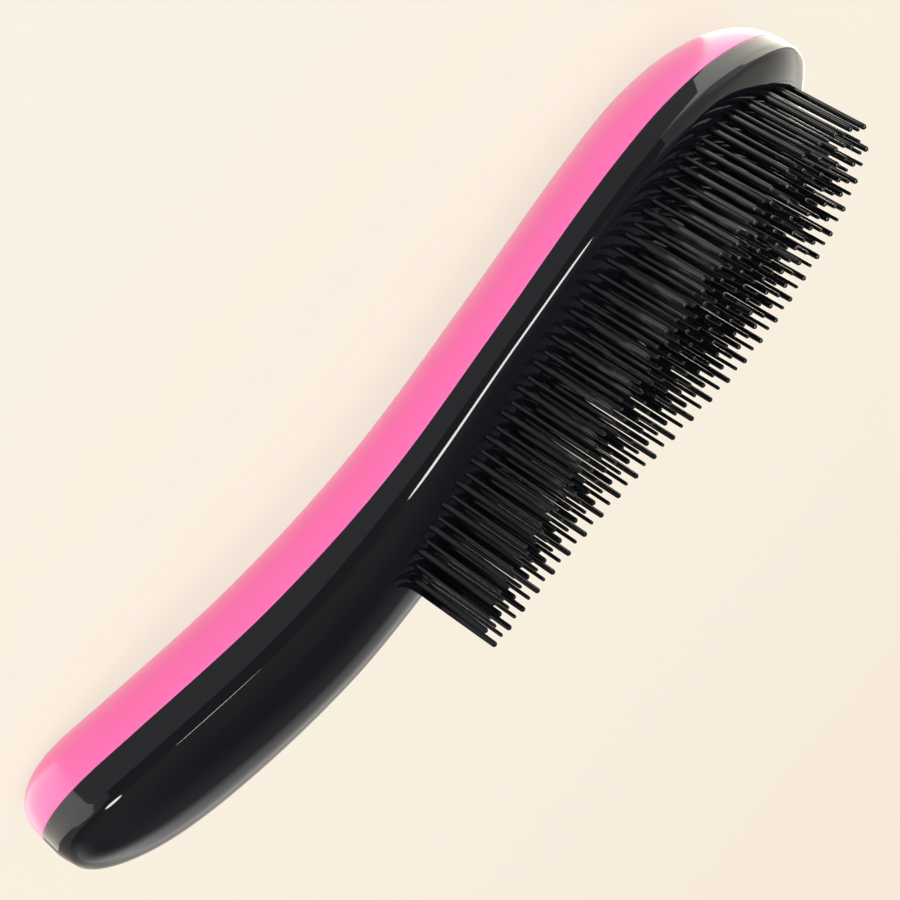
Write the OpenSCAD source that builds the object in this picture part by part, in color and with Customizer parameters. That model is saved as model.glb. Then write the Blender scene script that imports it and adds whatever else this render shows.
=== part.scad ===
// Detangling brush: a glossy handle and head made of two shells that close on
// one S-shaped seam, with a pad of parallel pins let into the face of the head
// and a tray behind the pad that takes the thrust of brushing.
// X runs from the butt of the handle to the tip of the head, Y runs across it.
// The brush lies on its back with the pins up, and the origin is on the surface
// that it lies on, under the middle of the body.

/* [Body] */
// Length from the butt of the handle to the tip of the head
overall_l = 230; // [215:1:250]
// Width that the handle tapers to at the butt, before its end is rounded
butt_w = 24.6; // [22:0.2:30]
// Width of the handle at the grip
grip_w = 30.8; // [27:0.2:36]
// Width of the handle at its slimmest place
throat_w = 29.6; // [27:0.2:36]
// Width where the head begins to open out
neck_w = 30.4; // [28:0.2:38]
// Width half way up the shoulder of the head
shoulder_w = 44; // [38:0.5:52]
// Width of the head
head_w = 58; // [52:0.5:66]
// Length over which the butt is rounded in plan
butt_round = 21.6; // [16:0.2:26]
// Length over which the tip of the head is rounded in plan
tip_round = 47; // [38:0.5:56]

/* [Sections] */
// Height that the seam gains from the butt to the neck
seam_rise = 9.6; // [4:0.2:14]
// Depth of the back below the seam, along the handle
handle_back_d = 15.7; // [13:0.1:18]
// Depth of the back below the seam that the head grows towards
head_back_d = 21.3; // [18:0.1:25]
// Height of the side band between the seam and the crease
band_h = 7.8; // [6.6:0.1:10]
// Height of the crown over the crease, where the grip is fullest
crown_h = 7.4; // [6:0.1:9]
// How far the crease stands in from the seam
crease_in = 0.9; // [0.5:0.1:1.6]

/* [Shells] */
// Wall of the two shells
wall_t = 1.8; // [1.4:0.1:2]
// Hairline left open along the seam
seam_gap = 0.12; // [0.06:0.01:0.3]
// Height of the lip of the back that slides into the front shell
lip_h = 1.8; // [1:0.1:2.4]
// Thickness of that lip
lip_t = 1; // [0.6:0.1:1.4]
// Clearance between the lip and the wall of the front shell
lip_clear = 0.5; // [0.4:0.05:0.7]

/* [Pad] */
// Length of the handle, from the butt to the window in the face
handle_l = 84.5; // [82:0.5:94]
// Width of face left between the window and the tip of the head
face_tip = 6; // [5:0.5:10]
// Width of face left between the window and the crease
face_side = 3.4; // [3.2:0.1:5]
// Length over which the neck end of the window is rounded
window_neck_round = 19; // [14:0.5:26]
// Length over which the tip end of the window is rounded
window_tip_round = 29; // [22:0.5:36]
// Clearance of the pad in the window
pad_gap = 0.2; // [0.15:0.05:0.3]
// Thickness of the tray behind the pad
tray_t = 1.6; // [1:0.1:2.2]
// How far the tray reaches past the window
tray_reach = 1.1; // [0.8:0.1:1.2]
// Clearance between the tray and what it lies behind
tray_gap = 0.3; // [0.2:0.05:0.4]

/* [Pins] */
// Rows of stout pins along the pad, with a row of slim ones between each two
stout_rows = 25; // [18:1:26]
// Distance from each end of the window to the nearest row
row_in = 3; // [2.5:0.5:5]
// How much closer the rows stand at the ends of the pad than midway, as a share
row_ease = 0.12; // [0:0.02:0.3]
// Pitch across the pad that the stout pins are spread at
stout_pitch = 6; // [5:0.1:7]
// Pitch across the pad that the slim pins are spread at
slim_pitch = 5.2; // [5:0.1:7]
// Distance from the outermost stout pins to the side of the pad
pin_in = 1; // [0.9:0.1:2]
// How much further in the outermost slim pins stand
slim_in = 1; // [0:0.5:3]
// Length of the stout pins at the sides of the pad
stout_l = 20; // [14:0.5:22]
// Thickness of the stout pins
stout_w = 1.45; // [1:0.05:1.5]
// Length of the slim pins at the sides of the pad
slim_l = 20; // [16:0.5:26]
// Thickness of the slim pins
slim_w = 1.1; // [0.7:0.05:1.2]
// How much shorter the inner pins are, as a share of the rise of the face under them
tip_level = 1.5; // [0:0.1:2]
// Angle that all pins lean towards the tip
pin_lean = 2.5; // [0:0.5:8]

/* [Hidden] */

// Places of the control sections, as shares of the length
place_shares = [0, 0.13, 0.28, 0.43, 0.59, 0.74, 0.87, 1];
places = overall_l * place_shares;

// Half widths of the seam at those places
half_widths = [butt_w, grip_w, throat_w, neck_w, shoulder_w, head_w, head_w, head_w] / 2;

// Height of the seam there, as shares of its rise
seam_shares = [0, 0.59, 0.96, 1, 0.93, 0.85, 0.68, 0.64];
seam_heights = seam_rise * seam_shares;

// Depth of the back there, as shares of the way from handle to head
back_shares = [0, 0.03, 0, 0, 0.24, 0.55, 0.76, 1];
back_depths = [for (s = back_shares) handle_back_d + (head_back_d - handle_back_d) * s];

// Height of the band and of the crown there, as shares of their own heights
band_shares = [0.97, 1, 0.98, 0.83, 0.78, 0.82, 0.86, 0.88];
band_heights = band_h * band_shares;
crown_shares = [0.7, 0.92, 1, 0.9, 0.72, 0.68, 0.46, 0.28];
crown_heights = crown_h * crown_shares;

// Powers of the rounded ends, the window, the domed back and the crown
butt_power = 2.4;
tip_power = 2;
window_power = 2.3;
back_power = 2.1;
crown_power = 2.9;
// Powers by which depths and crown, and the band, fade towards the ends
depth_fade = 0.8;
band_fade = 0.35;

// Steps of the shells along the handle, the window and the tip
handle_steps = 19;
window_steps = 26;
tip_steps = 6;
// Strips of the back cover from its middle to the seam, outside and inside
back_strips = 9;
back_inner_strips = 5;
// Columns of the crown, as shares of the way from its middle, or the window, to the crease
crown_column_shares = [0, 0.16, 0.3, 0.43, 0.55, 0.66, 0.76, 0.85, 0.93, 1];
inner_column_shares = [1, 0.85, 0.6, 0.3, 0];
// Strips of the band between the crease and the seam
band_strips = 2;
// Steps of the tray along its length
tray_steps = 20;
// Strips across the tray, and across the underside of the pad that it backs
tray_strips = 8;
// Lines that round the ends of the pad, as shares of the way to the first row
end_line_shares = [0.06, 0.3];
// Share of its thickness that a pin keeps at its end
pin_tip_share = 0.72;
// Share of the length over which a slope is measured
slope_share = 0.0005;

// The window, and the rows of pins in it
window_start = handle_l;
window_end = overall_l - face_tip;
field_start = window_start + row_in;
field_end = window_end - row_in;
row_count = 2 * stout_rows - 1;

// The lip of the back cover, drawn in from the seam
lip_out = wall_t + lip_clear;
lip_in = lip_out + lip_t;

// Smooth curve at x through the values given at the places
function slope(v, i) =
    let (a = max(i - 1, 0), b = min(i + 1, len(v) - 1))
    (v[b] - v[a]) / (places[b] - places[a]);
function interval(x) = max([for (i = [0:len(places) - 2]) if (i == 0 || x >= places[i]) i]);
function curve(x, v) =
    let (
        i = interval(x),
        h = places[i + 1] - places[i],
        t = (x - places[i]) / h,
        t2 = t * t,
        t3 = t2 * t
    )
    (2 * t3 - 3 * t2 + 1) * v[i] + (t3 - 2 * t2 + t) * h * slope(v, i)
    + (3 * t2 - 2 * t3) * v[i + 1] + (t3 - t2) * h * slope(v, i + 1);

// Quarter of a superellipse, which falls from 1 to 0 as the share goes from 0 to 1
function quarter(share, power) = pow(1 - pow(min(max(share, 0), 1), power), 1 / power);
// Share of the full width that the two rounded ends leave at x
function ends(x) =
    quarter((butt_round - x) / butt_round, butt_power)
    * quarter((x - overall_l + tip_round) / tip_round, tip_power);

// Sizes of the section at x
function full_half(x) = curve(x, half_widths);
function seam_half(x) = full_half(x) * ends(x);
function seam_z(x) = curve(x, seam_heights);
function crease_half(x) = seam_half(x) - crease_in * ends(x);
function band_at(x) = curve(x, band_heights) * pow(ends(x), band_fade);
function crown_at(x) = curve(x, crown_heights) * pow(ends(x), depth_fade);
function back_at(x) = curve(x, back_depths) * pow(ends(x), depth_fade);

// Height of the outer face over the rim of the front shell at a distance y from
// the middle, and the share of that height at which the inner face lies
function rise(x, y) =
    let (share = y == 0 ? 0 : min(abs(y) / crease_half(x), 1))
    band_at(x) + crown_at(x) * (1 - pow(share, crown_power));
function inner_share(x) = 1 - wall_t / (curve(x, band_heights) + curve(x, crown_heights));
function rim_z(x) = seam_z(x) + seam_gap;
function face_z(x, y) = rim_z(x) + rise(x, y);
function under_z(x, y) = rim_z(x) + rise(x, y) * inner_share(x);

// Plan point at station x of the seam's outline, drawn in by a distance d
function seam_slope(x) =
    let (e = overall_l * slope_share, a = max(x - e, 0), b = min(x + e, overall_l))
    (seam_half(b) - seam_half(a)) / (b - a);
function drawn_in(x, d) =
    let (s = seam_slope(x), q = sqrt(1 + s * s))
    x <= 0 ? [d, 0]
    : x >= overall_l ? [overall_l - d, 0]
    : [x + d * s / q, max(seam_half(x) - d / q, 0)];
// Place along the middle of the inner face that goes with station x
function middle_in(x, d) =
    x < window_start ? d + x * (window_start - d) / window_start
    : x > window_end ? window_end + (x - window_end) * (face_tip - d) / face_tip
    : x;

// Half widths of the window and of the tray
function window_ends(x, d) =
    quarter((window_start - d + window_neck_round - x) / window_neck_round, window_power)
    * quarter((x - window_end - d + window_tip_round) / window_tip_round, window_power);
function window_half(x) = (crease_half(x) - face_side) * window_ends(x, 0);
function tray_half(x) = (crease_half(x) - face_side + tray_reach) * window_ends(x, tray_reach);

// Stations along the shells
stations = concat(
    [for (i = [0:handle_steps]) window_start * (1 - cos(90 * i / handle_steps))],
    [
        for (i = [1:window_steps])
            (window_start + window_end - (window_end - window_start) * cos(180 * i / window_steps))
            / 2
    ],
    [for (i = [1:tip_steps]) window_end + face_tip * sin(90 * i / tip_steps)]
);
last = len(stations) - 1;

// The pad follows the straight edges that the window has between stations, with
// the same clearance at its ends as at its sides
pad_start = window_start + pad_gap;
pad_end = window_end - pad_gap;
window_edge = [for (x = stations) [x, window_half(x)]];
function pad_half(x) =
    let (share = (x - pad_start) / (pad_end - pad_start))
    max(lookup(window_start + (window_end - window_start) * share, window_edge) - pad_gap, 0);

// Two triangles of a patch with four corners, less those that have no area
function patch(a, b, c, d) = [
    for (t = [[a, b, c], [a, c, d]]) if (t[0] != t[1] && t[1] != t[2] && t[2] != t[0]) t
];

// Shell made of half sections, one a station, each a path that goes from middle
// to middle round the rim, clockwise as seen from the tip. The other half is its
// mirror image.
// Between open stations the two halves stand apart, with a wall from the end of
// each path to its start. At the butt and the tip a path closes up on the points
// that tip_columns names.
module shell(halves, open, tip_columns) {
    columns = len(halves[0]);
    function point(i, side, j) =
        let (at_tip = i == 0 || i == last, joined = !open[i] && (j == 0 || j == columns - 1))
        (2 * i + (at_tip || joined ? 0 : side)) * columns + (at_tip ? tip_columns[j] : j);
    function sided(side, a, b, c, d) = side == 0 ? patch(a, b, c, d) : patch(d, c, b, a);
    points = [for (h = halves) for (m = [1, -1]) for (p = h) [p.x, p.y * m, p.z]];
    faces = [
        for (i = [0:last - 1])
            for (side = [0, 1])
                for (j = [0:columns - (open[i] || open[i + 1] ? 1 : 2)])
                    let (k = (j + 1) % columns)
                    each sided(
                        side,
                        point(i, side, j), point(i, side, k),
                        point(i + 1, side, k), point(i + 1, side, j)
                    )
    ];
    polyhedron(points, faces);
}

// Lowest point of the back, which lies on the surface
base_drop = -min([for (x = stations) seam_z(x) - back_at(x)]);
module placed() {
    translate([-overall_l / 2, 0, base_drop])
        children();
}

// Half section of the back cover: from the middle of the inner face up to the
// lip, over the rim, and down the dome
function dome_point(x, share_y, share_z) = [x, seam_half(x) * share_y, seam_z(x) - back_at(x) * share_z];
function inner_dome_point(x, share_y, share_z) =
    let (
        d = drawn_in(x, lip_in),
        xi = middle_in(x, lip_in) * (1 - share_y) + d.x * share_y,
        depth = back_at(x) * (1 - wall_t / curve(x, back_depths))
    )
    [xi, d.y * share_y, seam_z(xi) - depth * share_z];
function rim_point(x, d, z) =
    let (p = drawn_in(x, d))
    [p.x, p.y, seam_z(p.x) + z];
function arc_share(part) = pow(part, 2 / back_power);
function back_section(x) = concat(
    [
        for (i = [0:back_inner_strips])
            let (a = 90 * i / back_inner_strips)
            inner_dome_point(x, arc_share(sin(a)), arc_share(cos(a)))
    ],
    [rim_point(x, lip_in, lip_h), rim_point(x, lip_out, lip_h), rim_point(x, lip_out, 0)],
    [
        for (i = [back_strips:-1:0])
            let (a = 90 * i / back_strips)
            dome_point(x, arc_share(sin(a)), arc_share(cos(a)))
    ]
);

// Half section of the front shell: from the middle of the crown, or from the
// window, out to the crease, down the band, over the rim and back inside
function crown_point(x, share) =
    let (e = window_half(x), y = e + (crease_half(x) - e) * share)
    [x, y, face_z(x, y)];
function band_point(x, share) = [
    x,
    crease_half(x) + (seam_half(x) - crease_half(x)) * share,
    rim_z(x) + band_at(x) * (1 - share)
];
function inner_point(x, share) =
    let (
        e = window_half(x),
        d = drawn_in(x, wall_t),
        xi = middle_in(x, wall_t) * (1 - share) + d.x * share,
        y = e + (max(d.y - crease_in * ends(x), 0) - e) * share
    )
    [xi, y, rim_z(xi) + rise(x, y) * inner_share(x)];
function front_section(x) = concat(
    [for (s = crown_column_shares) crown_point(x, s)],
    [for (i = [1:band_strips]) band_point(x, i / band_strips)],
    [rim_point(x, wall_t, seam_gap)],
    [for (s = inner_column_shares) inner_point(x, s)]
);

module back_cover() {
    lip = back_inner_strips + 1;
    outside = lip + 3;
    color("hotpink")
        placed()
            shell(
                [for (x = stations) back_section(x)],
                [for (x = stations) false],
                concat(
                    [for (j = [0:back_inner_strips]) 0],
                    [for (j = [lip:outside - 1]) j],
                    [for (j = [0:back_strips]) outside]
                )
            );
}

module front_shell() {
    outside = len(crown_column_shares) + band_strips;
    color([0.09, 0.1, 0.1])
        placed()
            shell(
                [for (x = stations) front_section(x)],
                [for (x = stations) x > window_start && x < window_end],
                concat(
                    [for (j = [1:outside]) 0],
                    [for (j = [0:len(inner_column_shares)]) outside]
                )
            );
}

// Triangles between two lines of points, of which the first starts at index a
// and has n points, and the second, further along X, starts at b and has m
function apex(k, n, m) = n == 1 ? 0 : round((k + 0.5) * (m - 1) / (n - 1));
function zip(a, n, b, m) = concat(
    n == 1 ? [] : [for (k = [0:n - 2]) [a + k, a + k + 1, b + apex(k, n, m)]],
    m == 1 ? [] : [
        for (k = [0:m - 2])
            let (p = n == 1 ? 0 : len([for (i = [0:n - 2]) if (apex(i, n, m) <= k) i]))
            [b + k + 1, b + k, a + p]
    ]
);
// Where each line's points start in the list of all of them
function starts(lines) = [
    for (i = 0, s = 0; i < len(lines); s = s + len(lines[i]), i = i + 1) s
];
function total(lines) = len([for (l = lines) each l]);
function turned(faces) = [for (f = faces) [f[2], f[1], f[0]]];

// Faces under and round a slab whose upper lines start at tops and whose lower
// lines, after them, start at bases
function slab_faces(upper, lower, tops, bases) = concat(
    [
        for (i = [0:len(lower) - 2])
            each turned(zip(bases[i], len(lower[i]), bases[i + 1], len(lower[i + 1])))
    ],
    [
        for (i = [0:len(upper) - 2])
            let (
                t0 = tops[i] + len(upper[i]) - 1,
                t1 = tops[i + 1] + len(upper[i + 1]) - 1,
                b0 = bases[i] + len(lower[i]) - 1,
                b1 = bases[i + 1] + len(lower[i + 1]) - 1
            )
            each concat(
                patch(b1, t1, t0, b0),
                patch(bases[i], tops[i], tops[i + 1], bases[i + 1])
            )
    ]
);

// Points of a line across the pad or the tray at x, spread evenly over its width
function across(x, half, strips) =
    half <= 0 ? [[x, 0]] : [for (i = [0:strips]) [x, half * (2 * i / strips - 1)]];

// Row of pins: its place along the brush, the thickness and length of its pins,
// and their places across the brush
function is_stout(r) = r % 2 == 0;
function row_x(r) =
    let (share = r / (row_count - 1))
    field_start
    + (field_end - field_start) * (share - row_ease * sin(360 * share) / (2 * PI));
function row_w(r) = is_stout(r) ? stout_w : slim_w;
function row_l(r) = is_stout(r) ? stout_l : slim_l;
function row_pitch(r) = is_stout(r) ? stout_pitch : slim_pitch;
function row_half(r) = min([for (s = [-1, 1]) pad_half(row_x(r) + s * row_w(r) / 2)]) - pin_in;
function row_pins(r) =
    let (
        half = row_half(r) - (is_stout(r) ? 0 : slim_in),
        gaps = round(2 * half / row_pitch(r))
    )
    gaps < 1 ? [0] : [for (i = [0:gaps]) half * (2 * i / gaps - 1)];

// Line along one side of a row, with two points for each pin
function row_line(r, side) =
    let (x = row_x(r) + side * row_w(r) / 2)
    concat(
        [[x, -pad_half(x)]],
        [for (y = row_pins(r)) each [[x, y - row_w(r) / 2], [x, y + row_w(r) / 2]]],
        [[x, pad_half(x)]]
    );
function end_line(from, to, share) =
    let (x = from + (to - from) * share)
    across(x, pad_half(x), 1);

module pin_pad() {
    first_x = row_x(0) - row_w(0) / 2;
    last_x = row_x(row_count - 1) + row_w(row_count - 1) / 2;
    neck_lines = [for (s = end_line_shares) end_line(pad_start, first_x, s)];
    tip_lines = [
        for (i = [len(end_line_shares) - 1:-1:0]) end_line(pad_end, last_x, end_line_shares[i])
    ];
    row_lines = [for (r = [0:row_count - 1]) each [row_line(r, -1), row_line(r, 1)]];
    upper = concat([[[pad_start, 0]]], neck_lines, row_lines, tip_lines, [[[pad_end, 0]]]);
    lower = [for (l = upper) across(l[0].x, -l[0].y, tray_strips)];
    first_row = 1 + len(neck_lines);

    tops = starts(upper);
    bases = [for (s = starts(lower)) s + total(upper)];
    rows = [for (r = [0:row_count - 1]) row_pins(r)];
    pins = [for (s = starts(rows)) 4 * s + total(upper) + total(lower)];

    // The four corners of a pin's end, round the same way as those of its foot
    function pin_end(r, y) =
        let (
            x = row_x(r),
            half = row_w(r) * pin_tip_share / 2,
            foot = face_z(x, y),
            length = row_l(r) - tip_level * (foot - face_z(x, row_half(r))),
            top = [x + length * sin(pin_lean), y, foot + length * cos(pin_lean)]
        )
        [for (c = [[-1, -1], [1, -1], [1, 1], [-1, 1]]) top + [half * c.x, half * c.y, 0]];
    function pin_faces(r, i) =
        let (
            back = tops[first_row + 2 * r] + 1 + 2 * i,
            front = tops[first_row + 2 * r + 1] + 1 + 2 * i,
            foot = [back, front, front + 1, back + 1],
            end = pins[r] + 4 * i
        )
        concat(
            [
                for (c = [0:3])
                    each patch(foot[c], end + c, end + (c + 1) % 4, foot[(c + 1) % 4])
            ],
            patch(end, end + 3, end + 2, end + 1)
        );
    // The strip of a row between its two lines, left out where a pin stands
    function row_strip(r) =
        let (
            back = tops[first_row + 2 * r],
            front = tops[first_row + 2 * r + 1],
            count = len(upper[first_row + 2 * r])
        )
        [
            for (j = [0:2:count - 2])
                each patch(back + j, back + j + 1, front + j + 1, front + j)
        ];
    function is_row(i) =
        i >= first_row && i < first_row + 2 * row_count && (i - first_row) % 2 == 0;

    points = concat(
        [for (l = upper) for (p = l) [p.x, p.y, face_z(p.x, p.y)]],
        [for (l = lower) for (p = l) [p.x, p.y, under_z(p.x, p.y)]],
        [for (r = [0:row_count - 1]) for (y = rows[r]) each pin_end(r, y)]
    );
    faces = concat(
        [
            for (i = [0:len(upper) - 2])
                if (!is_row(i)) each zip(tops[i], len(upper[i]), tops[i + 1], len(upper[i + 1]))
        ],
        [
            for (r = [0:row_count - 1])
                each concat(row_strip(r), [for (i = [0:len(rows[r]) - 1]) each pin_faces(r, i)])
        ],
        slab_faces(upper, lower, tops, bases)
    );
    color([0.12, 0.13, 0.13])
        placed()
            polyhedron(points, faces);
}

module pad_tray() {
    tray_start = window_start - tray_reach;
    tray_end = window_end + tray_reach;
    lines = [
        for (i = [0:tray_steps])
            let (x = (tray_start + tray_end - (tray_end - tray_start) * cos(180 * i / tray_steps)) / 2)
            across(x, i == 0 || i == tray_steps ? 0 : tray_half(x), tray_strips)
    ];
    tops = starts(lines);
    bases = [for (s = tops) s + total(lines)];
    function tray_z(p) = under_z(p.x, p.y) - tray_gap;
    points = concat(
        [for (l = lines) for (p = l) [p.x, p.y, tray_z(p)]],
        [for (l = lines) for (p = l) [p.x, p.y, tray_z(p) - tray_t]]
    );
    faces = concat(
        [
            for (i = [0:len(lines) - 2])
                each zip(tops[i], len(lines[i]), tops[i + 1], len(lines[i + 1]))
        ],
        slab_faces(lines, lines, tops, bases)
    );
    color([0.2, 0.2, 0.22])
        placed()
            polyhedron(points, faces);
}

back_cover();
front_shell();
pin_pad();
pad_tray();
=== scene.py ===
"""Detangling brush: glossy pink back, glossy black front and a field of flexible pins.

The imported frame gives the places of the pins. The sections of the body repeat those
that the solids are made from. Lengths are in metres: X runs from the butt of the handle
to the tip of the head, Y across the brush, and Z up out of the surface it lies on.
"""

import math

import bpy
from mathutils import Matrix, Vector


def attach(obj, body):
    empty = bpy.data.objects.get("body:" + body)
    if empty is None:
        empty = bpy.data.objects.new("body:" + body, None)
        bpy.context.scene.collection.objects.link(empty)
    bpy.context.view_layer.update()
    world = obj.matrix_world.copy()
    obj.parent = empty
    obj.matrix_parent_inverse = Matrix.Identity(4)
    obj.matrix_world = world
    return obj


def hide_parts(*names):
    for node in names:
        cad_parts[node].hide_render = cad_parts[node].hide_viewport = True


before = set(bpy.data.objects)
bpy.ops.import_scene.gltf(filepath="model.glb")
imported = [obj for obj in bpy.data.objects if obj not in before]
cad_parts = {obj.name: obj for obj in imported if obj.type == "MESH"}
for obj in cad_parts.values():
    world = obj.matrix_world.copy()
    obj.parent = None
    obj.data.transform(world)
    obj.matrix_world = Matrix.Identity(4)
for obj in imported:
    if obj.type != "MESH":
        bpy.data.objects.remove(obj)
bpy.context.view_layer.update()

MM = 0.001

# The body

LENGTH = 230 * MM
HALF_LENGTH = LENGTH / 2
# How long the rounded ends are
BUTT_ROUND = 21.6 * MM
TIP_ROUND = 47 * MM
# How far the seam rises from the butt to its highest
SEAM_RISE = 9.6 * MM
# Depth of the back under the seam
HANDLE_BACK = 15.7 * MM
HEAD_BACK = 21.3 * MM
# Height of the side band over the seam, and of the face over the crease that ends it
BAND = 7.8 * MM
CROWN = 7.4 * MM
# The crease lies this far inside the seam
CREASE_IN = 0.9 * MM
# Hairline between the two shells
SEAM_GAP = 0.12 * MM

# Control sections: places along the body, and what each size is there
PLACES = [share * LENGTH for share in (0, 0.13, 0.28, 0.43, 0.59, 0.74, 0.87, 1)]
HALF_WIDTHS = [width * MM / 2 for width in (24.6, 30.8, 29.6, 30.4, 44, 58, 58, 58)]
SEAM_HEIGHTS = [SEAM_RISE * share for share in (0, 0.59, 0.96, 1, 0.93, 0.85, 0.68, 0.64)]
BACK_DEPTHS = [
    HANDLE_BACK + (HEAD_BACK - HANDLE_BACK) * share
    for share in (0, 0.03, 0, 0, 0.24, 0.55, 0.76, 1)
]
BANDS = [BAND * share for share in (0.97, 1, 0.98, 0.83, 0.78, 0.82, 0.86, 0.88)]
CROWNS = [CROWN * share for share in (0.7, 0.92, 1, 0.9, 0.72, 0.68, 0.46, 0.28)]

# How square the rounded outlines and sections are: 2 is an ellipse
BUTT_POWER = 2.4
TIP_POWER = 2.0
WINDOW_POWER = 2.3
BACK_POWER = 2.1
CROWN_POWER = 2.9
# How late the depth and the band shrink towards the ends: less is later
DEPTH_FADE = 0.8
BAND_FADE = 0.35
# The band keeps this share of its height at the very ends
BAND_END_SHARE = 0.6
# The band stands nearly upright up to the first share of its height, where it has gone
# the second share of its way in, and then leans in to the crease
BEND_AT = 0.62
BEND_IN = 0.14

# The window for the pad, and the rim of the face that is left round it
WINDOW_START = 84.5 * MM
WINDOW_NECK_ROUND = 19 * MM
WINDOW_TIP_ROUND = 29 * MM
FACE_TIP = 6 * MM
FACE_SIDE = 3.4 * MM
WINDOW_END = LENGTH - FACE_TIP

# Thickness of the shells and of the pad's face
WALL = 1.4 * MM


def curve(x, values):
    """Smooth curve through the values at the control sections."""
    last = len(PLACES) - 1
    i = max([0] + [n for n in range(last) if x >= PLACES[n]])

    def slope(n):
        a, b = max(n - 1, 0), min(n + 1, last)
        return (values[b] - values[a]) / (PLACES[b] - PLACES[a])

    h = PLACES[i + 1] - PLACES[i]
    t = (x - PLACES[i]) / h
    return (
        (2 * t**3 - 3 * t**2 + 1) * values[i]
        + (t**3 - 2 * t**2 + t) * h * slope(i)
        + (3 * t**2 - 2 * t**3) * values[i + 1]
        + (t**3 - t**2) * h * slope(i + 1)
    )


def quarter(share, power):
    """Quarter of a superellipse, falling from 1 to 0."""
    return (1 - min(max(share, 0), 1) ** power) ** (1 / power)


def ends(x):
    """The share of its full size that a section keeps near the rounded ends."""
    return quarter((BUTT_ROUND - x) / BUTT_ROUND, BUTT_POWER) * quarter(
        (x - LENGTH + TIP_ROUND) / TIP_ROUND, TIP_POWER
    )


def seam_half(x):
    """Half the width at the seam, which is the outline of the brush."""
    return curve(x, HALF_WIDTHS) * ends(x)


def crease_half(x):
    return seam_half(x) - CREASE_IN * ends(x)


def window_half(x):
    neck = quarter((WINDOW_START + WINDOW_NECK_ROUND - x) / WINDOW_NECK_ROUND, WINDOW_POWER)
    tip = quarter((x - WINDOW_END + WINDOW_TIP_ROUND) / WINDOW_TIP_ROUND, WINDOW_POWER)
    return (crease_half(x) - FACE_SIDE) * neck * tip


def band_inset(up):
    """How much of its way in to the crease the band has gone, a share of the way up."""
    if up <= BEND_AT:
        return BEND_IN * up / BEND_AT
    return BEND_IN + (1 - BEND_IN) * (up - BEND_AT) / (1 - BEND_AT)


def seam_z(x):
    return curve(x, SEAM_HEIGHTS)


def band_at(x):
    return curve(x, BANDS) * max(ends(x) ** BAND_FADE, BAND_END_SHARE)


def crease_z(x):
    return seam_z(x) + SEAM_GAP + band_at(x)


def face_z(x, y):
    """Height of the crowned face over a place in plan."""
    half = crease_half(x)
    share = min(abs(y) / half, 1) if half > 0 else 0
    return crease_z(x) + curve(x, CROWNS) * ends(x) ** DEPTH_FADE * (1 - share**CROWN_POWER)


def back_z(x, y):
    """Height of the domed back under a place in plan."""
    half = seam_half(x)
    share = min(abs(y) / half, 1) if half > 0 else 0
    depth = curve(x, BACK_DEPTHS) * ends(x) ** DEPTH_FADE
    return seam_z(x) - depth * (1 - share**BACK_POWER) ** (1 / BACK_POWER)


SAMPLES = 400
LOWEST = min(back_z(LENGTH * n / SAMPLES, 0) for n in range(SAMPLES + 1))


def placed(x, y, z):
    """A point of the body, moved to where the brush lies."""
    return Vector((x - HALF_LENGTH, y, z - LOWEST))


# Modelling

# Faces of the skins: round the rim, up the band, over the crease, and in to the spine
AROUND = 240
BACK_ROWS = 18
BAND_ROWS = 12
CREASE_ROWS = 6
CROWN_ROWS = 26
PAD_AROUND = 200
PAD_ROWS = 16
# Where the lines of a rounded end run together, as a share of its length
END_MEETS = 0.75
# Points closer than this are one
MERGE = 0.002 * MM

# At the control sections, how far from the crease its round starts on either side
CREASE_REACHES = [reach * MM for reach in (1, 0.14, 0.12, 0.7, 0.9, 0.9, 0.75, 0.6)]
SHARPEST = 0.08 * MM
RIM_RADIUS = 0.16 * MM
RIM_STEPS = 3
# Gap between the pad and the window that it lies in
HAIRLINE = 0.01 * MM
# Edges that turn further than this are rounded, and those past the other look sharp
ROUNDED_ANGLE = math.radians(60)
SHARP_ANGLE = math.radians(38)


def pick(*pieces):
    """Selects only these pieces and makes the first of them active."""
    bpy.ops.object.select_all(action="DESELECT")
    for piece in pieces:
        piece.select_set(True)
    bpy.context.view_layer.objects.active = pieces[0]


def edit_all(action):
    """Runs some mesh operators on everything that the active piece has."""
    bpy.ops.object.mode_set(mode="EDIT")
    bpy.ops.mesh.select_all(action="SELECT")
    action()
    bpy.ops.object.mode_set(mode="OBJECT")


def close_up():
    """Merges doubled points, and faces everything the same way."""
    bpy.ops.mesh.remove_doubles(threshold=MERGE)
    bpy.ops.mesh.normals_make_consistent(inside=False)


def face_like(piece, up):
    """Turns an open skin so that its middle faces up or down."""
    middle = min(piece.data.polygons, key=lambda face: abs(face.center.x) + abs(face.center.y))
    if (middle.normal.z > 0) != up:
        edit_all(bpy.ops.mesh.flip_normals)


def add_modifier(piece, kind, **settings):
    """Adds a modifier with these settings and applies it."""
    pick(piece)
    modifier = piece.modifiers.new(kind.lower(), kind)
    for name, value in settings.items():
        setattr(modifier, name, value)
    bpy.ops.object.modifier_apply(modifier=modifier.name)


def lay_skin(name, around, rows, place, up):
    """A sheet laid on a surface: place(turn, row) is where it lies after a share
    of a turn round its rim, so many rows in from it."""
    bpy.ops.object.select_all(action="DESELECT")
    bpy.ops.mesh.primitive_grid_add(x_subdivisions=around, y_subdivisions=rows, size=1)
    skin = bpy.context.object
    skin.name = name
    # The flat grid is one unit wide, with its middle at the origin
    for vertex in skin.data.vertices:
        turn, inward = vertex.co.x + 0.5, vertex.co.y + 0.5
        vertex.co = place(turn, round(inward * rows))
    edit_all(close_up)
    face_like(skin, up)
    return skin


def rim_place(turn, start, end, half):
    """The point of an outline after a share of a turn round it."""
    x = start + (end - start) * (1 - math.cos(2 * math.pi * turn)) / 2
    side = 1 if turn <= 0.5 else -1
    return x, side * half(x)


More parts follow.
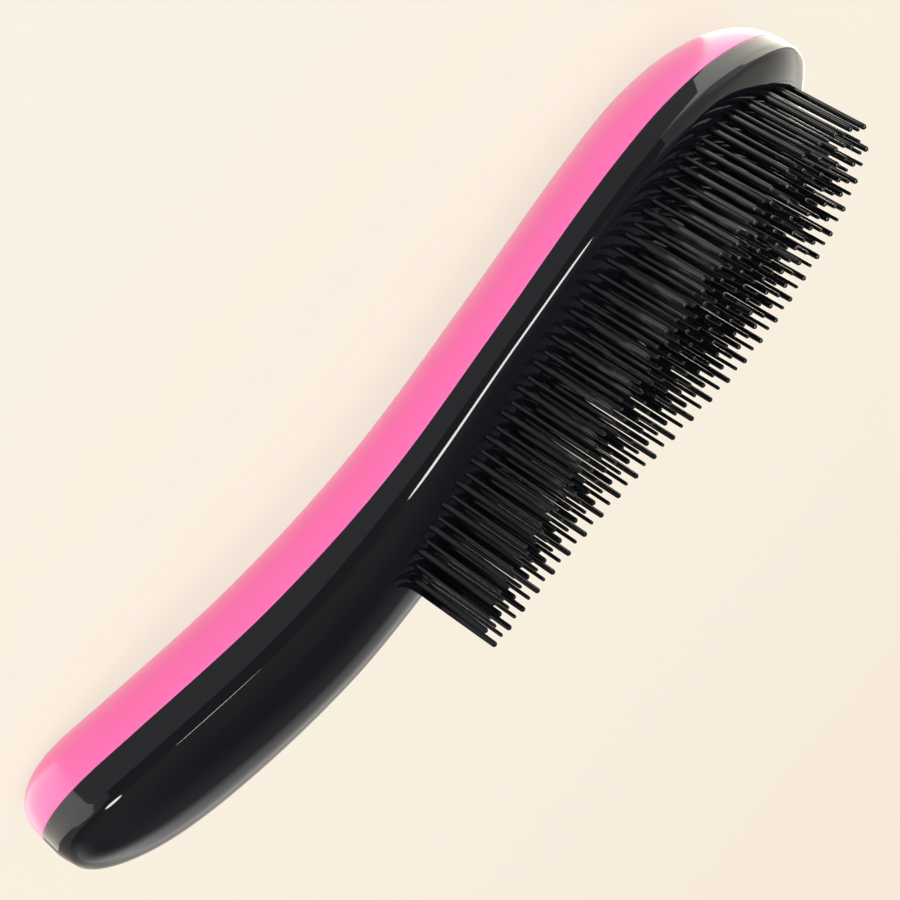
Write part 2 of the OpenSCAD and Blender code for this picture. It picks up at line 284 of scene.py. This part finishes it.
def inward_from(x, y, share, start, end):
    """A rim point drawn in towards the spine until a share of the way is left."""
    spine_x = min(max(x, start), end)
    return spine_x + (x - spine_x) * share, y * share


BODY_SPINE = (BUTT_ROUND * END_MEETS, LENGTH - TIP_ROUND * END_MEETS)


def back_place(turn, row):
    """A point of the domed back, whose rows crowd at the rim, where it is steep."""
    x, y = rim_place(turn, 0, LENGTH, seam_half)
    share = math.cos(math.pi / 2 * row / BACK_ROWS) ** (2 / BACK_POWER) if row < BACK_ROWS else 0
    x, y = inward_from(x, y, share, *BODY_SPINE)
    return placed(x, y, back_z(x, y))


def band_place(x, rim_y, crease_y, up):
    """A point of the band, a share of the way up from the seam to the crease."""
    y = rim_y + (crease_y - rim_y) * band_inset(up)
    return placed(x, y, seam_z(x) + SEAM_GAP + band_at(x) * up)


def crown_place(x, crease_y, share):
    """A point of the face, with a share of the way in to the spine left."""
    x, y = inward_from(x, crease_y, share, *BODY_SPINE)
    return placed(x, y, face_z(x, y))


def front_place(turn, row):
    """A point of the front: its rows go up the band, over the crease and in."""
    x, rim_y = rim_place(turn, 0, LENGTH, seam_half)
    _, crease_y = rim_place(turn, 0, LENGTH, crease_half)
    spine_x = min(max(x, BODY_SPINE[0]), BODY_SPINE[1])
    reach = max(curve(x, CREASE_REACHES), SHARPEST)
    band_up = 1 - reach / band_at(x)
    crown_share = 1 - reach / math.hypot(x - spine_x, crease_y)
    if row <= BAND_ROWS:
        return band_place(x, rim_y, crease_y, band_up * row / BAND_ROWS)
    if row >= BAND_ROWS + CREASE_ROWS:
        inward = (row - BAND_ROWS - CREASE_ROWS) / CROWN_ROWS
        return crown_place(x, crease_y, crown_share * (1 - inward))
    t = (row - BAND_ROWS) / CREASE_ROWS
    return (
        band_place(x, rim_y, crease_y, band_up) * (1 - t) ** 2
        + crown_place(x, crease_y, 1) * 2 * t * (1 - t)
        + crown_place(x, crease_y, crown_share) * t**2
    )


PAD_SPINE = (
    WINDOW_START + WINDOW_NECK_ROUND * END_MEETS,
    WINDOW_END - WINDOW_TIP_ROUND * END_MEETS,
)


def pad_place(turn, row):
    """A point of the pad's face, a hairline clear of the window."""
    x, y = rim_place(turn, WINDOW_START, WINDOW_END, window_half)
    share = (1 - row / PAD_ROWS) * (1 - HAIRLINE / FACE_SIDE)
    x, y = inward_from(x, y, share, *PAD_SPINE)
    return placed(x, y, face_z(x, y))


def thicken(piece):
    """Gives a skin its wall, inwards, and rounds the edges of its rim."""
    add_modifier(piece, "SOLIDIFY", thickness=WALL, offset=-1)
    add_modifier(
        piece,
        "BEVEL",
        width=RIM_RADIUS,
        segments=RIM_STEPS,
        limit_method="ANGLE",
        angle_limit=ROUNDED_ANGLE,
    )
    pick(piece)
    bpy.ops.object.shade_smooth_by_angle(angle=SHARP_ANGLE)


def make_back():
    back = lay_skin("back_moulding", AROUND, BACK_ROWS, back_place, up=False)
    thicken(back)
    return back


# It reaches from inside the body to well above the face
CUTTER_HEIGHT = 60 * MM


def make_cutter():
    """A block with the window's outline, to cut it out of the front."""
    bpy.ops.object.select_all(action="DESELECT")
    bpy.ops.mesh.primitive_cylinder_add(vertices=PAD_AROUND, radius=1, depth=CUTTER_HEIGHT)
    cutter = bpy.context.object
    cutter.name = "window_cutter"
    for vertex in cutter.data.vertices:
        turn = (math.atan2(vertex.co.y, -vertex.co.x) / (2 * math.pi)) % 1
        x, y = rim_place(turn, WINDOW_START, WINDOW_END, window_half)
        vertex.co = placed(x, y, vertex.co.z + CUTTER_HEIGHT / 2 + band_at(x))
    edit_all(close_up)
    return cutter


def make_front():
    rows = BAND_ROWS + CREASE_ROWS + CROWN_ROWS
    front = lay_skin("front_moulding", AROUND, rows, front_place, up=True)
    thicken(front)
    cutter = make_cutter()
    add_modifier(front, "BOOLEAN", operation="DIFFERENCE", solver="EXACT", object=cutter)
    bpy.data.objects.remove(cutter)
    pick(front)
    bpy.ops.object.shade_smooth_by_angle(angle=SHARP_ANGLE)
    return front


def make_pad():
    pad = lay_skin("pad_face", PAD_AROUND, PAD_ROWS, pad_place, up=True)
    add_modifier(pad, "SOLIDIFY", thickness=WALL, offset=-1)
    pick(pad)
    bpy.ops.object.shade_smooth_by_angle(angle=SHARP_ANGLE)
    return pad


# The pins

PIN_LEAN = math.radians(2.5)
# Length of a pin at the side of the pad; the inner ones are shorter
PIN_LENGTH = 20 * MM
# Half thickness at the foot and at the top
STOUT_RADII = (0.72 * MM, 0.55 * MM)
SLIM_RADII = (0.55 * MM, 0.42 * MM)
PIN_SIDES = 10
# The dome of a pin's top takes up this share of its half thickness
DOME = 0.92
DOME_STEPS = 3
PIN_SMOOTH = math.radians(60)
# How far a pin goes down into the pad
PIN_ROOT = 0.6 * MM
PIN_UP = Vector((math.sin(PIN_LEAN), 0, math.cos(PIN_LEAN)))
# A CAD pin whose end is wider than this is a stout one
STOUT_FROM = 0.9 * MM
# A face whose normal rises by at least this much is level
LEVEL = 0.99
# A pin's foot and its length follow from each other, so they are found in this many rounds
LENGTH_ROUNDS = 3


def length_under(top):
    """How far it is from a pin's top down to the face that the pin stands on."""
    length = PIN_LENGTH
    for _ in range(LENGTH_ROUNDS):
        x = top.x + HALF_LENGTH - length * math.sin(PIN_LEAN)
        length = (top.z + LOWEST - face_z(x, top.y)) / math.cos(PIN_LEAN)
    return length


def pin_tops():
    """The middle and the width of each pin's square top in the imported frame.

    Such a top is two triangles, which share their longest side."""
    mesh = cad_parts["pin_pad"].data
    found = {}
    for face in mesh.polygons:
        points = [mesh.vertices[i].co for i in face.vertices]
        flat = max(p.z for p in points) - min(p.z for p in points) < MERGE
        if flat and face.normal.z > LEVEL:
            pairs = ((a, b) for a in points for b in points)
            one, other = max(pairs, key=lambda pair: (pair[0] - pair[1]).length)
            centre = (one + other) / 2
            width = (one - other).length / math.sqrt(2)
            found[tuple(round(part / MERGE) for part in centre)] = (centre, width)
    return list(found.values())


def model_pin(name, radii):
    """One upright pin: a round rod that tapers and has a domed top."""
    bpy.ops.object.select_all(action="DESELECT")
    bpy.ops.mesh.primitive_cone_add(
        vertices=PIN_SIDES,
        radius1=radii[0],
        radius2=radii[1],
        depth=PIN_LENGTH + PIN_ROOT,
        location=(0, 0, (PIN_LENGTH - PIN_ROOT) / 2),
    )
    pin = bpy.context.object
    pin.name = name
    bpy.ops.object.transform_apply(location=True)
    for edge in pin.data.edges:
        edge.select = all(pin.data.vertices[i].co.z > 0 for i in edge.vertices)
    for face in pin.data.polygons:
        face.select = False
    # The first pin, the stout one, comes here while points are what is selected. All its
    # edges are rounded then, not only those of its top, and its sides overlap a little
    bpy.ops.object.mode_set(mode="EDIT")
    bpy.ops.mesh.select_mode(type="EDGE")
    bpy.ops.mesh.bevel(offset=radii[1] * DOME, segments=DOME_STEPS, affect="EDGES")
    bpy.ops.object.mode_set(mode="OBJECT")
    pick(pin)
    bpy.ops.object.shade_smooth_by_angle(angle=PIN_SMOOTH)
    return pin


def plant_pins(name, model, tops):
    """Copies a pin to each of the tops, cuts it to its length and joins the copies."""
    pins = []
    for centre, _ in tops:
        pin = model.copy()
        pin.data = model.data.copy()
        bpy.context.collection.objects.link(pin)
        shortening = PIN_LENGTH - length_under(centre)
        for vertex in pin.data.vertices:
            if vertex.co.z < 0:
                vertex.co.z += shortening
        pin.data.transform(
            Matrix.Translation(centre - PIN_UP * PIN_LENGTH) @ Matrix.Rotation(PIN_LEAN, 4, "Y")
        )
        pins.append(pin)
    bpy.data.objects.remove(model)
    pick(*pins)
    bpy.ops.object.join()
    pins[0].name = name
    return pins[0]


def make_pins():
    tops = pin_tops()
    stout = [top for top in tops if top[1] > STOUT_FROM]
    slim = [top for top in tops if top[1] <= STOUT_FROM]
    return [
        plant_pins("stout_pins", model_pin("stout_pin", STOUT_RADII), stout),
        plant_pins("slim_pins", model_pin("slim_pin", SLIM_RADII), slim),
    ]


# The plastics

# The colour of each where its flow marks are least, and where they are most
PINK = ((0.95, 0.15, 0.475), (0.92, 0.128, 0.435))
BLACK = ((0.0038, 0.0043, 0.006), (0.005, 0.0055, 0.0072))
PIN_BLACK = ((0.003, 0.0036, 0.0048), (0.005, 0.0056, 0.0068))
TRAY_BLACK = ((0.03, 0.03, 0.032), (0.036, 0.036, 0.038))
# The tints of their reflections: those of the shell and the pins are a little cool
PLAIN = (1, 1, 1)
COOL = (0.74, 0.8, 1)
PIN_COOL = (0.76, 0.82, 1)


def link(tree, out_socket, in_socket):
    tree.links.new(out_socket, in_socket)


def make_group(name, inputs, outputs):
    """An empty node group with these sockets: inputs hold name and value."""
    tree = bpy.data.node_groups.new(name, "ShaderNodeTree")
    for socket, value in inputs.items():
        made = tree.interface.new_socket(socket, in_out="INPUT", socket_type="NodeSocketFloat")
        made.default_value = value
    for socket in outputs:
        tree.interface.new_socket(socket, in_out="OUTPUT", socket_type="NodeSocketFloat")
    return tree, tree.nodes.new("NodeGroupInput"), tree.nodes.new("NodeGroupOutput")


def noise_at(tree, place, size, detail, stretch=None):
    """A noise pattern of this size on the piece, drawn out along its length if asked."""
    noise = tree.nodes.new("ShaderNodeTexNoise")
    noise.inputs["Detail"].default_value = detail
    vector = place.outputs["Object"]
    if stretch:
        drawn = tree.nodes.new("ShaderNodeMapping")
        drawn.inputs["Scale"].default_value = stretch
        link(tree, vector, drawn.inputs["Vector"])
        vector = drawn.outputs["Vector"]
    link(tree, vector, noise.inputs["Vector"])
    link(tree, size, noise.inputs["Scale"])
    return noise.outputs["Fac"]


def scaled_to(tree, value, low, high, reach):
    """A pattern's values between low and high, spread over nothing to its full reach."""
    span = tree.nodes.new("ShaderNodeMapRange")
    span.inputs["From Min"].default_value = low
    span.inputs["From Max"].default_value = high
    link(tree, value, span.inputs["Value"])
    link(tree, reach, span.inputs["To Max"])
    return span.outputs["Result"]


def summed(tree, *values):
    """The sum of some values."""
    total = values[0]
    for value in values[1:]:
        added = tree.nodes.new("ShaderNodeMath")
        added.operation = "ADD"
        link(tree, total, added.inputs[0])
        link(tree, value, added.inputs[1])
        total = added.outputs["Value"]
    return total


# Flow marks and wiping marks are drawn out lengthways: less is longer
FLOW_STRETCH = (0.35, 1, 1)
WIPE_STRETCH = (0.06, 1, 1)
# The part of each noise that counts, from where it starts to show to its full strength
FLOW_SPAN = (0.35, 0.65)
SMEAR_SPAN = (0.45, 0.75)
WIPE_SPAN = (0.55, 0.8)
WHOLE_SPAN = (0, 1)
SHEEN_ROUGHNESS = 0.4


def moulded_surface():
    """The skin of a polished moulding: flow marks in its colour, smears and fine
    wiping marks in its gloss, and a faint waviness with the finest peel over it.

    The sizes say how many marks there are to a metre."""
    tree, given, result = make_group(
        "moulded_surface",
        {
            "Flow Size": 60.0,
            "Flow": 0.06,
            "Smear Size": 45.0,
            "Roughness": 0.05,
            "Smear": 0.05,
            "Wipe Size": 900.0,
            "Wipe": 0.03,
            "Wave Size": 90.0,
            "Wave": 1.0,
            "Peel Size": 1400.0,
            "Peel": 0.04,
        },
        ("Flow", "Roughness", "Height"),
    )
    place = tree.nodes.new("ShaderNodeTexCoord")
    given = given.outputs
    flow = noise_at(tree, place, given["Flow Size"], detail=3, stretch=FLOW_STRETCH)
    link(tree, scaled_to(tree, flow, *FLOW_SPAN, given["Flow"]), result.inputs["Flow"])
    smear = noise_at(tree, place, given["Smear Size"], detail=6)
    wipe = noise_at(tree, place, given["Wipe Size"], detail=2, stretch=WIPE_STRETCH)
    rough = summed(
        tree,
        given["Roughness"],
        scaled_to(tree, smear, *SMEAR_SPAN, given["Smear"]),
        scaled_to(tree, wipe, *WIPE_SPAN, given["Wipe"]),
    )
    link(tree, rough, result.inputs["Roughness"])
    wave = noise_at(tree, place, given["Wave Size"], detail=2)
    peel = noise_at(tree, place, given["Peel Size"], detail=1)
    height = summed(
        tree,
        scaled_to(tree, wave, *WHOLE_SPAN, given["Wave"]),
        scaled_to(tree, peel, *WHOLE_SPAN, given["Peel"]),
    )
    link(tree, height, result.inputs["Height"])
    return tree


def plastic(name, surface, colours, *, ior, skin, skin_depth, tint=PLAIN, sheen=0):
    """A moulded plastic: its two colours are where the flow marks are least and most,
    skin holds the group's values that differ here, and skin_depth is how deep its
    waviness goes. Its reflections have the tint."""
    material = bpy.data.materials.new(name)
    material.use_nodes = True
    tree = material.node_tree
    shader = tree.nodes["Principled BSDF"]
    shader.inputs["IOR"].default_value = ior
    shader.inputs["Specular Tint"].default_value = (*tint, 1)
    group = tree.nodes.new("ShaderNodeGroup")
    group.node_tree = surface
    for socket, value in skin.items():
        group.inputs[socket].default_value = value
    blend = tree.nodes.new("ShaderNodeMix")
    blend.data_type = "RGBA"
    link(tree, group.outputs["Flow"], blend.inputs["Factor"])
    blend.inputs["A"].default_value = (*colours[0], 1)
    blend.inputs["B"].default_value = (*colours[1], 1)
    link(tree, blend.outputs["Result"], shader.inputs["Base Color"])
    link(tree, group.outputs["Roughness"], shader.inputs["Roughness"])
    bump = tree.nodes.new("ShaderNodeBump")
    bump.inputs["Distance"].default_value = skin_depth
    link(tree, group.outputs["Height"], bump.inputs["Height"])
    link(tree, bump.outputs["Normal"], shader.inputs["Normal"])
    shader.inputs["Sheen Weight"].default_value = sheen
    shader.inputs["Sheen Roughness"].default_value = SHEEN_ROUGHNESS
    material.diffuse_color = (*colours[0], 1)
    return material


def gloss_pink(surface):
    """The pink of the back, which looks softer than the black and pales at its edges."""
    return plastic(
        "gloss_pink",
        surface,
        PINK,
        ior=1.46,
        skin={"Roughness": 0.3},
        skin_depth=0.008 * MM,
        sheen=0.5,
    )


def gloss_black(surface):
    """The black of the front, polished like a mirror."""
    return plastic(
        "gloss_black",
        surface,
        BLACK,
        ior=1.4,
        skin={"Roughness": 0.025},
        skin_depth=0.005 * MM,
        tint=COOL,
    )


def pin_black(surface):
    """The flexible black of the pins, with a coarser skin than the shell's."""
    return plastic(
        "pin_black",
        surface,
        PIN_BLACK,
        ior=1.42,
        skin={"Roughness": 0.07, "Flow Size": 200.0, "Peel": 0.2},
        skin_depth=0.006 * MM,
        tint=PIN_COOL,
    )


def tray_black(surface):
    """The plain black of the tray inside."""
    return plastic(
        "tray_black",
        surface,
        TRAY_BLACK,
        ior=1.45,
        skin={"Roughness": 0.45},
        skin_depth=0.02 * MM,
    )


def dress(piece, node, material):
    """Puts a finished piece on the body, in place of its CAD node."""
    piece.data.materials.clear()
    piece.data.materials.append(material)
    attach(piece, "root")
    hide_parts(node)


def make_brush():
    surface = moulded_surface()
    pink = gloss_pink(surface)
    black = gloss_black(surface)
    flexible = pin_black(surface)
    hidden = tray_black(surface)
    dress(make_back(), "back_cover", pink)
    dress(make_front(), "front_shell", black)
    dress(make_pad(), "pin_pad", black)
    for pins in make_pins():
        dress(pins, "pin_pad", flexible)
    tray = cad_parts["pad_tray"]
    tray.data.materials.clear()
    tray.data.materials.append(hidden)


# The studio

CAMERA_AT = Vector((-71.81, 368.74, 204.39)) * MM
CAMERA_AIM = Vector((-0.64, -2.09, 20)) * MM
CAMERA_ROLL = math.radians(126.78)
CAMERA_LENS = 80
SENSOR = 36

FLOOR_SIZE = 12
# The floor's colour on the camera's side and a darker, warmer one on the far side, and where
# across it the one ends and the other begins
CREAM = ((0.955, 0.886, 0.76), (0.93, 0.82, 0.705))
CREAM_SPAN = (0.12, -0.6)
# How much of what is seen of the floor is its own colour, and not the light on it
FLOOR_OWN = 0.86

# Brightness that reflections show of the studio, by the sine of the height over the
# horizon: on the camera's side, and on the far side
NEAR_SIDE = (
    (0.0, 0.28),
    (0.28, 0.32),
    (0.5, 0.42),
    (0.7, 0.5),
    (0.84, 0.4),
    (0.93, 0.27),
    (1.0, 0.2),
)
FAR_SIDE = (
    (0.0, 0.8),
    (0.1, 1.0),
    (0.22, 1.8),
    (0.34, 1.3),
    (0.43, 0.72),
    (0.54, 0.27),
    (0.75, 0.36),
    (0.84, 0.36),
    (0.94, 0.3),
    (1.0, 0.2),
)
# Where the one side passes into the other, by how much a ray points towards +Y
SIDE_SPAN = (0.1, -0.3)
NEAR_TINT = (0.98, 1, 0.78)
FAR_TINT = (1, 0.97, 0.91)
# The even light that the room gives
ROOM_LIGHT = 0.5

SUN_POWER = 2.0
SUN_SPREAD = math.radians(50)
SUN_FROM = Vector((-0.15, 0.6, 0.85))

# The panels: where the standing ones are and face, and how far the flat ones are lifted
LAMP_TINT = (1, 0.92, 0.74)
CREASE_PANEL_AT = Vector((-0.21, 1.5, 0.66))
GLINT_PANEL_AT = Vector((-1.05, 1.05, 0.66))
BRUSH_MIDDLE = Vector((0, 0, 0.04))
TIP_PANEL_AT = Vector((0.19, 0.05, 0.1))
TIP_PANEL_AIM = Vector((0, 0.05, 0.1))
PANEL_LIFT = 1 * MM


def turned_to(at, aim, roll=0):
    """Rotation of something at a point that faces another, rolled about its axis."""
    facing = (aim - at).to_track_quat("-Z", "Y").to_matrix()
    return (facing @ Matrix.Rotation(roll, 3, "Z")).to_euler()


def add_camera():
    data = bpy.data.cameras.new("photo_camera")
    data.lens = CAMERA_LENS
    data.sensor_width = SENSOR
    camera = bpy.data.objects.new("photo_camera", data)
    camera.location = CAMERA_AT
    camera.rotation_euler = turned_to(CAMERA_AT, CAMERA_AIM, CAMERA_ROLL)
    bpy.context.scene.collection.objects.link(camera)
    bpy.context.scene.camera = camera


def add_panel(name, at, aim, width, height, strength, rounded=False):
    """A soft light panel that only reflections show: strength sets its brightness."""
    data = bpy.data.lights.new(name, "AREA")
    data.shape = "ELLIPSE" if rounded else "RECTANGLE"
    data.color = LAMP_TINT
    data.size = width
    data.size_y = height
    data.energy = strength * math.pi * width * height
    panel = bpy.data.objects.new(name, data)
    panel.location = at
    panel.rotation_euler = turned_to(at, aim)
    panel.visible_camera = False
    panel.visible_diffuse = False
    bpy.context.scene.collection.objects.link(panel)
    return panel


def add_flat_panel(name, near, away, width, strength):
    """A panel that lies on the floor, facing up: its middle line runs from near to away,
    which are places in plan."""
    near, away = Vector((*near, PANEL_LIFT)), Vector((*away, PANEL_LIFT))
    middle = (near + away) / 2
    above = middle + Vector((0, 0, 1))
    panel = add_panel(name, middle, above, (away - near).length, width, strength)
    along = math.atan2(away.y - near.y, away.x - near.x)
    panel.rotation_euler = (math.pi, 0, along)


def seen_or_mirrored(tree):
    """One for rays from the camera, off gloss and through glass, and nothing for others."""
    path = tree.nodes.new("ShaderNodeLightPath")
    rays = ("Is Camera Ray", "Is Glossy Ray", "Is Transmission Ray")
    return summed(tree, *(path.outputs[ray] for ray in rays))


def cream_floor():
    """The pale floor: one even blend across it, which keeps the brush's shadow."""
    material = bpy.data.materials.new("cream_floor")
    material.use_nodes = True
    material.cycles.emission_sampling = "NONE"
    tree = material.node_tree
    tree.nodes.remove(tree.nodes["Principled BSDF"])
    place = tree.nodes.new("ShaderNodeTexCoord")
    split = tree.nodes.new("ShaderNodeSeparateXYZ")
    link(tree, place.outputs["Object"], split.inputs["Vector"])
    across = tree.nodes.new("ShaderNodeMapRange")
    across.inputs["From Min"].default_value, across.inputs["From Max"].default_value = CREAM_SPAN
    link(tree, split.outputs["Y"], across.inputs["Value"])
    blend = tree.nodes.new("ShaderNodeMix")
    blend.data_type = "RGBA"
    link(tree, across.outputs["Result"], blend.inputs["Factor"])
    blend.inputs["A"].default_value = (*CREAM[0], 1)
    blend.inputs["B"].default_value = (*CREAM[1], 1)
    lit = tree.nodes.new("ShaderNodeBsdfDiffuse")
    own = tree.nodes.new("ShaderNodeEmission")
    link(tree, blend.outputs["Result"], lit.inputs["Color"])
    link(tree, blend.outputs["Result"], own.inputs["Color"])
    share = tree.nodes.new("ShaderNodeMath")
    share.operation = "MULTIPLY"
    share.inputs[1].default_value = FLOOR_OWN
    share.use_clamp = True
    link(tree, seen_or_mirrored(tree), share.inputs[0])
    mixed = tree.nodes.new("ShaderNodeMixShader")
    link(tree, share.outputs["Value"], mixed.inputs["Fac"])
    link(tree, lit.outputs["BSDF"], mixed.inputs[1])
    link(tree, own.outputs["Emission"], mixed.inputs[2])
    link(tree, mixed.outputs["Shader"], tree.nodes["Material Output"].inputs["Surface"])
    return material


def add_floor():
    bpy.ops.object.select_all(action="DESELECT")
    bpy.ops.mesh.primitive_plane_add(size=FLOOR_SIZE)
    floor = bpy.context.object
    floor.name = "floor"
    floor.data.materials.append(cream_floor())


def add_levels(tree, height, levels, tint):
    """Brightness by height over the horizon, through the given levels."""
    ramp = tree.nodes.new("ShaderNodeValToRGB")
    points = ramp.color_ramp.elements
    for place, _ in levels[1:-1]:
        points.new(place)
    for point, (_, level) in zip(points, levels):
        point.color = (*(level * part for part in tint), 1)
    link(tree, height, ramp.inputs["Fac"])
    return ramp.outputs["Color"]


def add_room():
    """The studio's walls and ceiling: even light, and graded reflections."""
    world = bpy.data.worlds.new("studio")
    world.use_nodes = True
    tree = world.node_tree
    place = tree.nodes.new("ShaderNodeTexCoord")
    split = tree.nodes.new("ShaderNodeSeparateXYZ")
    link(tree, place.outputs["Generated"], split.inputs["Vector"])
    side = tree.nodes.new("ShaderNodeMapRange")
    side.inputs["From Min"].default_value, side.inputs["From Max"].default_value = SIDE_SPAN
    link(tree, split.outputs["Y"], side.inputs["Value"])
    graded = tree.nodes.new("ShaderNodeMix")
    graded.data_type = "RGBA"
    link(tree, side.outputs["Result"], graded.inputs["Factor"])
    link(tree, add_levels(tree, split.outputs["Z"], NEAR_SIDE, NEAR_TINT), graded.inputs["A"])
    link(tree, add_levels(tree, split.outputs["Z"], FAR_SIDE, FAR_TINT), graded.inputs["B"])
    shown = tree.nodes.new("ShaderNodeMix")
    shown.data_type = "RGBA"
    link(tree, seen_or_mirrored(tree), shown.inputs["Factor"])
    shown.inputs["A"].default_value = (ROOM_LIGHT, ROOM_LIGHT, ROOM_LIGHT, 1)
    link(tree, graded.outputs["Result"], shown.inputs["B"])
    link(tree, shown.outputs["Result"], tree.nodes["Background"].inputs["Color"])
    bpy.context.scene.world = world


def add_sun():
    sun = bpy.data.lights.new("soft_sun", "SUN")
    sun.energy = SUN_POWER
    sun.angle = SUN_SPREAD
    sun_object = bpy.data.objects.new("soft_sun", sun)
    sun_object.rotation_euler = turned_to(SUN_FROM, Vector((0, 0, 0)))
    sun_object.visible_glossy = False
    bpy.context.scene.collection.objects.link(sun_object)


def add_lights():
    add_room()
    add_sun()
    # A round panel behind the camera, which the crease shows as a white line
    add_panel(
        "crease_panel",
        CREASE_PANEL_AT,
        BRUSH_MIDDLE,
        width=0.38,
        height=0.4,
        strength=30,
        rounded=True,
    )
    # Another beyond the butt, for the glint at the end of the crease
    add_panel(
        "glint_panel",
        GLINT_PANEL_AT,
        BRUSH_MIDDLE,
        width=0.3,
        height=0.4,
        strength=30,
        rounded=True,
    )
    # Flat panels off both ends, which light the ends of the band and of the pink
    add_flat_panel(
        "butt_panel",
        near=(-0.122, -0.005),
        away=(-0.39, 0.29),
        width=0.052,
        strength=2.8,
    )
    add_flat_panel(
        "tip_floor_panel",
        near=(0.132, -0.12),
        away=(0.222, 0.16),
        width=0.128,
        strength=4.2,
    )
    # A wide one just off the tip, for the light round its end
    add_panel(
        "tip_panel",
        TIP_PANEL_AT,
        TIP_PANEL_AIM,
        width=0.4,
        height=0.2,
        strength=0.85,
    )


make_brush()
add_floor()
add_lights()
add_camera()
bpy.context.scene.view_settings.view_transform = "Standard"
